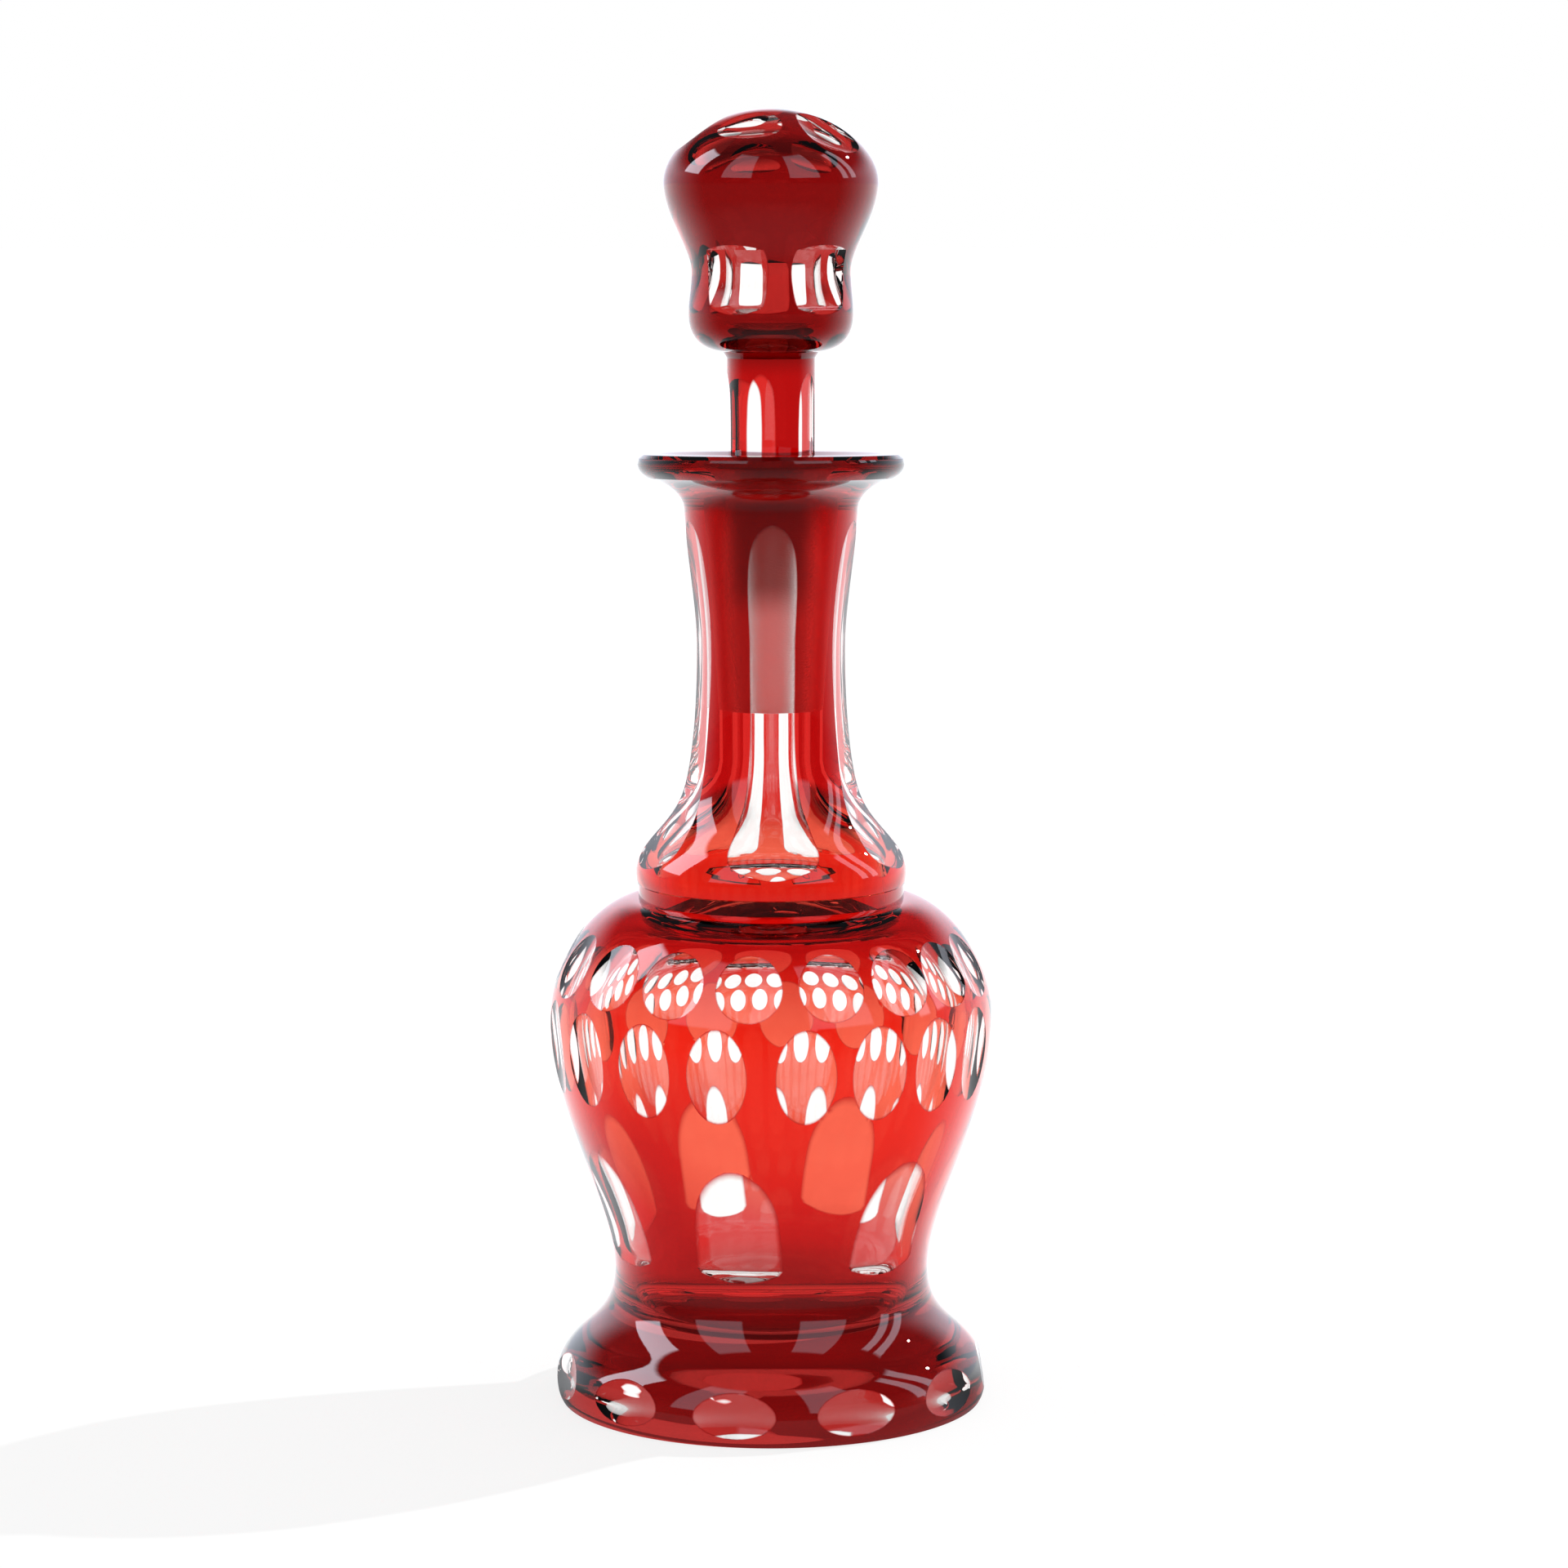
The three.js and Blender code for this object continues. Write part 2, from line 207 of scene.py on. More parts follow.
class BottleSizes(bpy.types.PropertyGroup):
    """Radii and heights of the bottle"""

    foot_radius: length("Foot radius", "Widest radius of the spreading foot", 57.2)
    base_round: length("Base rounding", "How far the foot is rounded in at the table", 1.2)
    foot_edge: length("Foot edge", "Height of the widest part of the foot", 5.5)
    waist_radius: length("Waist radius", "Radius between foot and belly", 41.8)
    waist_height: length("Waist height", "Height of the waist", 35.0)
    belly_radius: length("Belly radius", "Widest radius of the belly", 58.5)
    belly_rise: length("Belly rise", "Height of the belly above the waist", 68.0)
    shoulder_rise: length("Shoulder rise", "Height of the shoulder above the belly", 31.2)
    groove_radius: length("Groove radius", "Radius of the groove under the collar", 35.0)
    groove_height: length("Groove height", "Height of the groove", 3.8)
    collar_radius: length("Collar radius", "Radius of the collar", 35.7)
    collar_rise: length("Collar rise", "Height of the collar above its groove", 3.2)
    flare_radius: length("Flare radius", "Radius where the flare runs into the neck", 23.7)
    flare_rise: length("Flare rise", "Height of the flare above the collar", 19.6)
    neck_radius: length("Neck radius", "Narrowest radius of the neck", 19.4)
    neck_rise: length("Neck rise", "Height of the narrowest part above the flare", 39.4)
    throat_radius: length("Throat radius", "Radius under the lip", 22.8)
    throat_rise: length("Throat rise", "Height of the throat above the narrowest part", 37.0)
    lip_radius: length("Lip radius", "Radius of the flared lip", 35.0)
    lip_rise: length("Lip rise", "Height of the lip's lower edge above the throat", 11.0)
    lip_lean: angle("Lip lean", "How far the lip leans back, as it was finished by hand", 2.2)
    lip_inset: length("Lip inset", "How far inside the edge the underside starts to turn up", 2.2)
    lip_drop: length("Lip drop", "How far below the edge the underside starts to turn up", 3.3)
    lip_round: length("Lip rounding", "Length of the upright handle of that turn's bend", 1.6)
    lip_edge_rise: length("Lip edge", "Thickness of the lip at its edge", 2.9)
    lip_top_round: length("Lip top rounding", "Width of the rounding on top of the edge", 3.6)
    mouth_radius: length("Mouth radius", "Radius of the mouth before its bevel", 14.2)
    mouth_drop: length("Mouth drop", "How far the mouth dips below the lip", 3.0)
    mouth_bevel: length("Mouth bevel", "Height of the bevel into the ground bore", 2.0)
    wall: length("Wall", "Thickness of the glass wall", 4.6)
    cavity_floor: length("Cavity floor", "Height of the inner floor", 18.0)
    collar_wall: length("Collar wall", "Thickness of the wall at the collar", 6.0)
    cased_base: length("Cased base", "Radius of the underside that kept its casing", 38.0)
    sides: whole("Sides", "Faces round the bottle", 192, least=24)


class StopperSizes(bpy.types.PropertyGroup):
    """Radii and heights of the stopper"""

    peg_radius: length("Peg radius", "Radius at the top of the ground peg", 11.5)
    peg_taper: number("Peg taper", "Radius lost per unit of length", 0.046)
    peg_length: length("Peg length", "Length of the ground peg", 62.0)
    peg_clearance: length("Peg clearance", "Gap between peg and bore", 0.3)
    ground_drop: length("Ground drop", "How far the peg's top lies below the lip", 5.2)
    shank_length: length("Shank length", "Length of the fluted shank above the peg", 31.6)
    shank_bevel: length("Shank bevel", "Height of the bevel at the top of the shank", 1.6)
    shank_step: length("Shank step", "Width of the bevel at the top of the shank", 1.0)
    cup_radius: length("Cup radius", "Radius of the bulge above the shank", 21.5)
    cup_rise: length("Cup rise", "Height of the bulge above the shank", 9.6)
    waist_radius: length("Waist radius", "Radius between the bulge and the head", 20.8)
    waist_rise: length("Waist rise", "Height of the waist above the bulge", 11.0)
    head_radius: length("Head radius", "Widest radius of the head", 27.9)
    head_rise: length("Head rise", "Height of the widest part above the waist", 23.0)
    dome_rise: length("Dome rise", "Height of the top above the widest part", 19.0)
    hollow_floor: length("Hollow floor", "Height of the hollow's bottom above the shank", 3.6)
    cup_wall: length("Cup wall", "Thickness of the glass round the bulge", 5.4)
    waist_wall: length("Waist wall", "Thickness of the glass at the waist", 7.2)
    head_wall: length("Head wall", "Thickness of the glass in the head", 9.6)
    sides: whole("Sides", "Faces round the stopper", 144, least=24)


class CutSizes(bpy.types.PropertyGroup):
    """Width, lower edge, upper edge and depth of the dished cuts, and how many cuts go round"""

    foot: lens_sizes("Foot cuts", "on the edge of the foot", (22.0, 2.3, 13.9, 1.5))
    round: lens_sizes("Round cuts", "on the shoulder, from the belly", (17.3, 7.3, 23.5, 1.65))
    oval: lens_sizes("Oval cuts", "on the belly, from the belly", (16.0, -19.0, 5.8, 1.4))
    dome: lens_sizes("Dome cuts", "on the stopper, from its widest part", (18.4, 7.6, 17.7, 2.2))
    small_dome: lens_sizes("Small dome cut", "that sits higher than the others", (17.4, 11.2, 17.9, 1.5))
    foot_count: whole("Foot cut count", "Cuts round the foot", 11)
    belly_count: whole("Belly cut count", "Cuts in each row of the belly", 17)
    panel_count: whole("Panel count", "Arched cuts above the waist", 7)
    flute_count: whole("Flute count", "Flutes of the neck and cuts in each row of the stopper", 5)
    panel_step: length("Panel step", "Height of the squared lower end of an arched cut", 2.4)
    panel_bulge: share("Panel bulge", "Share of the glass's own curve that an arched cut keeps", 0.5)
    flute_step: length("Flute step", "Height of the squared lower end of a neck flute", 3.0)
    window_step: length("Window step", "Height of the squared ends of a window", 1.8)
    shank_step: length("Shank flute step", "Height of the squared lower end of a shank flute", 2.0)
    foot_first: angle("Foot start", "Azimuth of the first foot cut", -9.6)
    round_first: angle("Round start", "Azimuth of the first round cut", -5.8)
    oval_first: angle("Oval start", "Azimuth of the first oval cut", 8.4)
    panel_first: angle("Panel start", "Azimuth of the first arched cut", -11.0)
    flute_first: angle("Flute start", "Azimuth of the first neck flute", 1.2)
    window_first: angle("Window start", "Azimuth of the stopper's first window", -26.0)
    dome_first: angle("Dome start", "Azimuth of the first dome cut", -19.0)
    shank_first: angle("Shank start", "Azimuth of the first shank flute", -13.3)


class GlassColours(bpy.types.PropertyGroup):
    """Colours and finish of the two glasses"""

    ruby: glass_colour("Ruby", "Colour of the casing on the belly", (0.80, 0.015, 0.0045, 1.0))
    thick_ruby: glass_colour("Thick ruby", "Colour of the casing on the neck", (0.42, 0.0003, 0.0002, 1.0))
    dark_ruby: glass_colour("Dark ruby", "Colour of the casing on the stopper", (0.19, 0.0003, 0.0002, 1.0))
    # Deep ruby: the foot's deeper casing darkened further as painted shade, and painted shade on the lip's
    # top
    deep_ruby: glass_colour("Deep ruby", "Colour of the casing on foot and lip", (0.15, 0.0004, 0.0003, 1.0))
    crystal: glass_colour("Crystal", "Colour of the clear glass", (0.985, 0.985, 0.975, 1.0))
    # Peg and bore: the ground glass's upper colours, painted shade towards the mouth
    peg: glass_colour("Peg", "Colour of the top of the ground peg", (0.90, 0.86, 0.84, 1.0))
    bore: glass_colour("Bore", "Colour of the ground bore behind the thick casing", (0.36, 0.16, 0.14, 1.0))
    casing: length("Casing", "Thickness of the ruby casing", 0.18)
    index: number("Index", "Refractive index of the glass", 1.53)
    ground_roughness: share("Ground roughness", "Roughness of ground glass", 0.45)


class CarafeSettings(bpy.types.PropertyGroup):
    """Everything that a user would change on the carafe"""

    bottle: PointerProperty(type=BottleSizes)
    stopper: PointerProperty(type=StopperSizes)
    cuts: PointerProperty(type=CutSizes)
    glass: PointerProperty(type=GlassColours)


class Stations:
    """Heights of the bottle and the stopper, each stacked on the one below. They are h below, where b is
    the sizes of the bottle and s those of the stopper"""

    def __init__(self, bottle, stopper):
        self.waist = bottle.waist_height
        self.belly = self.waist + bottle.belly_rise
        self.groove = self.belly + bottle.shoulder_rise
        self.collar_foot = self.groove + bottle.groove_height
        self.collar = self.collar_foot + bottle.collar_rise
        self.flare = self.collar + bottle.flare_rise
        self.neck = self.flare + bottle.neck_rise
        self.throat = self.neck + bottle.throat_rise
        self.lip = self.throat + bottle.lip_rise
        self.lip_top = self.lip + bottle.lip_edge_rise
        self.peg_top = self.lip_top - stopper.ground_drop
        self.peg_end = self.peg_top - stopper.peg_length
        self.cup_foot = self.peg_top + stopper.shank_length
        self.cup = self.cup_foot + stopper.cup_rise
        self.stopper_waist = self.cup + stopper.waist_rise
        self.head = self.stopper_waist + stopper.head_rise
        self.dome = self.head + stopper.dome_rise


def at(radius, height):
    return Vector((radius, 0.0, height))


def trace(start, runs, spacing):
    """Joins straight runs and bends into one outline. Each run gives the handles of its bend and its end"""
    points = [start]
    for *handles, end in runs:
        begin = points[-1]
        if not handles:
            count = max(1, round((end - begin).length / spacing))
            points += [begin.lerp(end, (i + 1) / count) for i in range(count)]
            continue
        if len(handles) == 1:
            handles = [begin.lerp(handles[0], 2 / 3), end.lerp(handles[0], 2 / 3)]
        count = max(3, round((end - begin).length / spacing))
        points += interpolate_bezier(begin, *handles, end, count + 1)[1:]
    return points


def bottle_outline(b, h):
    """Outside of the bottle, from the edge of its base to its mouth. Handles lie at shares of the rises"""
    foot_rise = b.waist_height - b.foot_edge
    shoulder_depth = b.belly_radius - b.groove_radius
    flare_depth = b.collar_radius - b.flare_radius
    foot_depth = b.flare_radius - b.neck_radius
    throat_depth = b.throat_radius - b.neck_radius
    lip_depth = b.lip_radius - b.throat_radius
    return trace(at(b.foot_radius - b.base_round, 0), [
        [at(b.foot_radius, b.foot_edge * 0.3), at(b.foot_radius, b.foot_edge)],
        [at(b.foot_radius, b.foot_edge + foot_rise * 0.46), at(b.waist_radius, h.waist - foot_rise * 0.58),
         at(b.waist_radius, h.waist)],
        [at(b.waist_radius, h.waist + b.belly_rise * 0.25),
         at(b.belly_radius, h.belly - b.belly_rise * 0.39), at(b.belly_radius, h.belly)],
        [at(b.belly_radius, h.belly + b.shoulder_rise * 0.46),
         at(b.groove_radius + shoulder_depth * 0.48, h.groove), at(b.groove_radius, h.groove)],
        [at(b.groove_radius, h.collar_foot)],
        [at(b.collar_radius, h.collar_foot), at(b.collar_radius, h.collar)],
        [at(b.collar_radius, h.collar + b.flare_rise * 0.34),
         at(b.flare_radius + flare_depth * 0.25, h.flare - b.flare_rise * 0.4),
         at(b.flare_radius, h.flare)],
        [at(b.flare_radius - foot_depth * 0.6, h.flare + b.neck_rise * 0.15),
         at(b.neck_radius, h.neck - b.neck_rise * 0.45), at(b.neck_radius, h.neck)],
        [at(b.neck_radius, h.neck + b.throat_rise * 0.3),
         at(b.throat_radius - throat_depth * 0.2, h.throat - b.throat_rise * 0.35),
         at(b.throat_radius, h.throat)],
        [at(b.throat_radius + throat_depth * 0.12, h.throat + b.lip_rise * 0.32),
         at(b.throat_radius + lip_depth * 0.4, h.throat + b.lip_rise * 0.6),
         at(b.lip_radius - b.lip_inset, h.lip - b.lip_drop)],
        [at(b.lip_radius, h.lip - b.lip_round), at(b.lip_radius, h.lip)],
        [at(b.lip_radius, h.lip_top), at(b.lip_radius - b.lip_top_round, h.lip_top)],
        [at(b.mouth_radius, h.lip_top - b.mouth_drop)],
    ], BOTTLE_SPACING)


def bore_radius(s, h, height):
    return s.peg_radius - (h.peg_top - height) * s.peg_taper + s.peg_clearance


def bore_outline(b, s, h):
    """The ground bore, from the bevel of the mouth down to the end of the peg"""
    bore_top = h.lip_top - b.mouth_drop - b.mouth_bevel
    return trace(at(bore_radius(s, h, bore_top), bore_top), [
        [at(bore_radius(s, h, h.peg_end), h.peg_end)],
    ], GROUND_SPACING)


def cavity_outline(b, s, h):
    """Inside of the bottle, from the end of the ground bore down to the middle of the floor"""
    belly = b.belly_radius - b.wall
    waist = b.waist_radius - b.wall
    collar = b.collar_radius - b.collar_wall
    ceiling = h.groove - b.wall * 1.4
    shoulder_depth = b.belly_radius - b.groove_radius
    bore = bore_radius(s, h, h.peg_end)
    return trace(at(bore, h.peg_end), [
        [at(bore, h.flare + b.wall * 2)],
        [at(bore, h.flare - b.wall), at(collar, h.collar + b.flare_rise * 0.4), at(collar, h.collar_foot)],
        [at(collar, ceiling), at(b.groove_radius, ceiling)],
        [at(b.groove_radius + shoulder_depth * 0.32, ceiling), at(belly, h.belly + b.shoulder_rise * 0.33),
         at(belly, h.belly)],
        [at(belly, h.belly - b.belly_rise * 0.39), at(waist, h.waist + b.belly_rise * 0.28),
         at(waist, h.waist + b.wall)],
        [at(waist, b.cavity_floor + b.wall * 2.4)],
        [at(waist, b.cavity_floor + b.wall * 0.4), at(waist * 0.75, b.cavity_floor), at(0, b.cavity_floor)],
    ], CAVITY_SPACING)


def stopper_outline(s, h):
    """Outside of the stopper, from the top of its ground peg to the top of its dome"""
    return trace(at(s.peg_radius, h.peg_top), [
        [at(s.peg_radius, h.cup_foot - s.shank_bevel)],
        [at(s.peg_radius + s.shank_step, h.cup_foot)],
        [at(s.cup_radius * 0.84, h.cup_foot + s.cup_rise * 0.04),
         at(s.cup_radius, h.cup - s.cup_rise * 0.6), at(s.cup_radius, h.cup)],
        [at(s.cup_radius, h.cup + s.waist_rise * 0.33),
         at(s.waist_radius, h.stopper_waist - s.waist_rise * 0.33), at(s.waist_radius, h.stopper_waist)],
        [at(s.waist_radius, h.stopper_waist + s.head_rise * 0.28),
         at(s.head_radius, h.head - s.head_rise * 0.37), at(s.head_radius, h.head)],
        [at(s.head_radius, h.head + s.dome_rise * 0.48), at(s.head_radius * 0.55, h.dome), at(0, h.dome)],
    ], STOPPER_SPACING)


def hollow_outline(s, h):
    """The air inside the blown stopper, from the bottom of its bulge to the top of its head"""
    waist = s.waist_radius - s.waist_wall
    cup = s.cup_radius - s.cup_wall
    head = s.head_radius - s.head_wall
    low = h.cup_foot + s.hollow_floor
    top = h.dome - s.head_wall
    return trace(at(0, low), [
        [at(cup * 0.75, low), at(cup, low + s.cup_rise * 0.25), at(cup, h.cup)],
        [at(cup, h.cup + s.waist_rise * 0.33), at(waist, h.stopper_waist - s.waist_rise * 0.33),
         at(waist, h.stopper_waist)],
        [at(waist, h.stopper_waist + s.head_rise * 0.16)],
        [at(waist, h.stopper_waist + s.head_rise * 0.5), at(head, h.head - s.head_rise * 0.4),
         at(head, h.head)],
        [at(head, h.head + s.dome_rise * 0.25), at(head * 0.55, top), at(0, top)],
    ], HOLLOW_SPACING)


class Guide:
    """Where an outline lies at a height, with its outward normal there"""

    def __init__(self, points):
        top = max(range(len(points)), key=lambda i: points[i].z)
        self.points = points[:top + 1]
        self.heights = [point.z for point in self.points]

    def tangent(self, i):
        before = self.points[max(i - 1, 0)]
        after = self.points[min(i + 1, len(self.points) - 1)]
        return (after - before).normalized()

    def locate(self, height):
        i = min(max(bisect.bisect_left(self.heights, height), 1), len(self.points) - 1)
        share = (height - self.heights[i - 1]) / (self.heights[i] - self.heights[i - 1])
        point = self.points[i - 1].lerp(self.points[i], share)
        along = self.tangent(i - 1).lerp(self.tangent(i), share).normalized()
        return point, Vector((along.z, 0, -along.x))

    def depth(self, spot):
        """How far a point lies inside the outline"""
        point, normal = self.locate(spot.z)
        return (point.x - spot.xy.length) * normal.x


def smooth_between(stations, height):
    """A smooth curve through stations of (height, value), straight beyond the ends"""
    heights = [z for z, _ in stations]
    values = [v for _, v in stations]
    last = len(stations) - 1
    chords = [(values[i + 1] - values[i]) / (heights[i + 1] - heights[i]) for i in range(last)]
    slopes = [chords[0]] + [(chords[i - 1] + chords[i]) / 2 for i in range(1, last)] + [chords[-1]]
    if height <= heights[0]:
        return values[0] + slopes[0] * (height - heights[0])
    if height >= heights[-1]:
        return values[-1] + slopes[-1] * (height - heights[-1])
    i = next(k for k in range(last) if height <= heights[k + 1])
    step = heights[i + 1] - heights[i]
    t = (height - heights[i]) / step
    return (
        values[i] * (1 + 2 * t) * (1 - t) ** 2 + slopes[i] * step * t * (1 - t) ** 2
        + values[i + 1] * t * t * (3 - 2 * t) + slopes[i + 1] * step * t * t * (t - 1)
    )


class LensCut:
    """A dished oval cut, by its width, its lower and upper edge and its depth in the middle"""

    def __init__(self, width, low, high, depth):
        self.low, self.high, self.depth = low, high, depth
        self.half = width / 2
        self.middle = (low + high) / 2

    def half_squared(self, height):
        """Square of the half width at a height, negative beyond the ends"""
        step = (height - self.middle) / (self.high - self.middle)
        return self.half ** 2 * (1 - step * step)

    def spread(self, height):
        """Half width of the cutter at a height"""
        return self.half + CUTTER_MARGIN

    def dish(self, bend):
        """How much faster than a flat the floor falls away from the glass"""
        return self.depth / self.half ** 2 - bend


class FlatCut:
    """A cut by stations of (height, width) and the length of the step at each end. It is flat across at
    a bulge of 0, and keeps the glass's own curve at 1"""

    def __init__(self, stations, low_step=0.0, high_step=0.0, bulge=0.0):
        self.squares = [(z, (width / 2) ** 2) for z, width in stations]
        self.low, self.high = stations[0][0], stations[-1][0]
        self.low_step, self.high_step, self.bulge = low_step, high_step, bulge

    def half_squared(self, height):
        """Square of the half width at a height, negative beyond the ends"""
        square = smooth_between(self.squares, height)
        if self.low_step:
            edge = smooth_between(self.squares, self.low + self.low_step)
            square = min(square, edge * (height - self.low) / self.low_step)
        if self.high_step:
            edge = smooth_between(self.squares, self.high - self.high_step)
            square = min(square, edge * (self.high - height) / self.high_step)
        return square

    def spread(self, height):
        """Half width of the cutter at a height"""
        return math.sqrt(max(self.half_squared(height), 0)) + CUTTER_MARGIN

    def dish(self, bend):
        """How much faster than a flat the floor falls away from the glass"""
        return -self.bulge * bend


def raised(stations, datum):
    """Stations of a flat cut in metres, counted from a height"""
    return [(datum + z * MM, width * MM) for z, width in stations]


def lens(sizes, datum):
    """A dished cut, its edges counted from a height"""
    width, low, high, depth = sizes
    return LensCut(width, datum + low, datum + high, depth)


def finish_mesh(name, bm, materials):
    mesh = bpy.data.meshes.new(name)
    bm.to_mesh(mesh)
    bm.free()
    for material in materials:
        mesh.materials.append(material)
    piece = bpy.data.objects.new(name, mesh)
    bpy.context.scene.collection.objects.link(piece)
    return piece


def spin_outline(name, stretches, sides, materials):
    """Spins an outline about the axis. Each stretch is its points and the glass it shows"""
    bm = bmesh.new()
    finish = bm.edges.layers.int.new("finish")
    last = None
    for points, kind in stretches:
        for point in points:
            vert = bm.verts.new(point)
            if last is not None and (last.co - vert.co).length > SAME_POINT:
                bm.edges.new((last, vert))[finish] = kind
            elif last is not None:
                bm.verts.remove(vert)
                continue
            last = vert
    bmesh.ops.spin(
        bm, geom=bm.verts[:] + bm.edges[:], cent=(0, 0, 0), axis=(0, 0, 1),
        angle=math.tau, steps=sides, use_merge=True,
    )
    for face in bm.faces:
        face.material_index = max(edge[finish] for edge in face.edges)
        face.smooth = True
    bmesh.ops.remove_doubles(bm, verts=bm.verts[:], dist=SAME_VERTEX)
    bmesh.ops.recalc_face_normals(bm, faces=bm.faces[:])
    return finish_mesh(name, bm, materials)


def lean_lip(piece, h, lean):
    """Leans the flared lip back, growing from the throat to the lip"""
    for vert in piece.data.vertices:
        share = min(max((vert.co.z - h.throat) / (h.lip - h.throat), 0), 1)
        vert.co.z -= vert.co.y * math.tan(lean) * share * share * (3 - 2 * share)


def only_verts(geometry):
    return [item for item in geometry if isinstance(item, bmesh.types.BMVert)]


def make_cutter(name, guide, cut, azimuths, rows, columns, materials):
    """Like cutters at some azimuths, each a floor shaped to the cut and drawn outwards to a closed block"""
    bm = bmesh.new()
    bmesh.ops.create_grid(bm, x_segments=columns, y_segments=rows, size=1.0)
    for vert in bm.verts:
        across, up = vert.co.x, (vert.co.y + 1) / 2
        height = cut.low - CUTTER_MARGIN + (cut.high - cut.low + 2 * CUTTER_MARGIN) * up
        point, normal = guide.locate(height)
        bend = normal.x / (2 * point.x)
        dish = cut.dish(bend)
        offset = across * cut.spread(height)
        # The floor comes up through the glass where the offset is the cut's half width
        depth = (dish + bend) * cut.half_squared(height) - dish * offset * offset
        vert.co = point - normal * depth + Vector((0, offset, 0))
    _, outwards = guide.locate((cut.low + cut.high) / 2)
    drawn = bmesh.ops.extrude_face_region(bm, geom=bm.faces[:], use_keep_orig=True)
    bmesh.ops.translate(bm, verts=only_verts(drawn["geom"]), vec=outwards * CUTTER_REACH)
    bmesh.ops.recalc_face_normals(bm, faces=bm.faces[:])
    block = bm.verts[:] + bm.edges[:] + bm.faces[:]
    for azimuth in azimuths:
        copy = bmesh.ops.duplicate(bm, geom=block)
        swing = Matrix.Rotation(azimuth - math.pi / 2, 3, "Z")
        bmesh.ops.rotate(bm, verts=only_verts(copy["geom"]), cent=(0, 0, 0), matrix=swing)
    bmesh.ops.delete(bm, geom=block, context="VERTS")
    for face in bm.faces:
        face.material_index = CUT
    return finish_mesh(name, bm, materials)


def cut_away(piece, cutter):
    bite = piece.modifiers.new("cut", "BOOLEAN")
    bite.operation = "DIFFERENCE"
    bite.solver = "MANIFOLD"
    bite.material_mode = "INDEX"
    bite.object = cutter
    with bpy.context.temp_override(object=piece):
        bpy.ops.object.modifier_apply(modifier=bite.name)
    bpy.data.objects.remove(cutter)


def ring(count, first, shifts=()):
    """Azimuths of the cuts round a piece. Cutting by hand sets some a little off their places"""
    shifts = [math.radians(shift) for shift in shifts] or [0.0] * count
    return [first + math.tau * i / count + shifts[i] for i in range(count)]


def cut_ring(piece, guide, name, cut, azimuths, rows, columns):
    """Makes every other cut first, then those between, so that no two cutters meet"""
    for half in (azimuths[::2], azimuths[1::2]):
        cut_away(piece, make_cutter(name, guide, cut, half, rows, columns, piece.data.materials))


def glass_shading(piece, guide):
    """Marks crisp edges, and stores how deep each point of a cut lies under the casing's surface"""
    bm = bmesh.new()
    bm.from_mesh(piece.data)
    depth = bm.verts.layers.float.new("depth")
    for face in bm.faces:
        face.smooth = True
        if face.material_index == CUT:
            for vert in face.verts:
                vert[depth] = guide.depth(vert.co)
    for edge in bm.edges:
        kinds = {face.material_index for face in edge.link_faces}
        edge.smooth = len(kinds) == 1 and edge.calc_face_angle(0) < CRISP_ANGLE
    bm.to_mesh(piece.data)
    bm.free()


class Link:
    """A shader socket that takes part in Python expressions"""

    def __init__(self, graph, socket):
        self.graph, self.socket = graph, socket

    def math(self, operation, *values):
        return self.graph.add("ShaderNodeMath", {"operation": operation}, values)

    def __add__(self, other):
        return self.math("ADD", self, other)

    def __radd__(self, other):
        return self.math("ADD", other, self)

    def __sub__(self, other):
        return self.math("SUBTRACT", self, other)

    def __rsub__(self, other):
        return self.math("SUBTRACT", other, self)

    def __mul__(self, other):
        return self.math("MULTIPLY", self, other)

    def __rmul__(self, other):
        return self.math("MULTIPLY", other, self)

    def __abs__(self):
        return self.math("ABSOLUTE", self)

    def fade(self, start, end):
        """0 at start, 1 at end and smooth between"""
        return self.graph.add(
            "ShaderNodeMapRange", {"interpolation_type": "SMOOTHSTEP"},
            {"Value": self, "From Min": start, "From Max": end, "To Min": 0.0, "To Max": 1.0},
        )


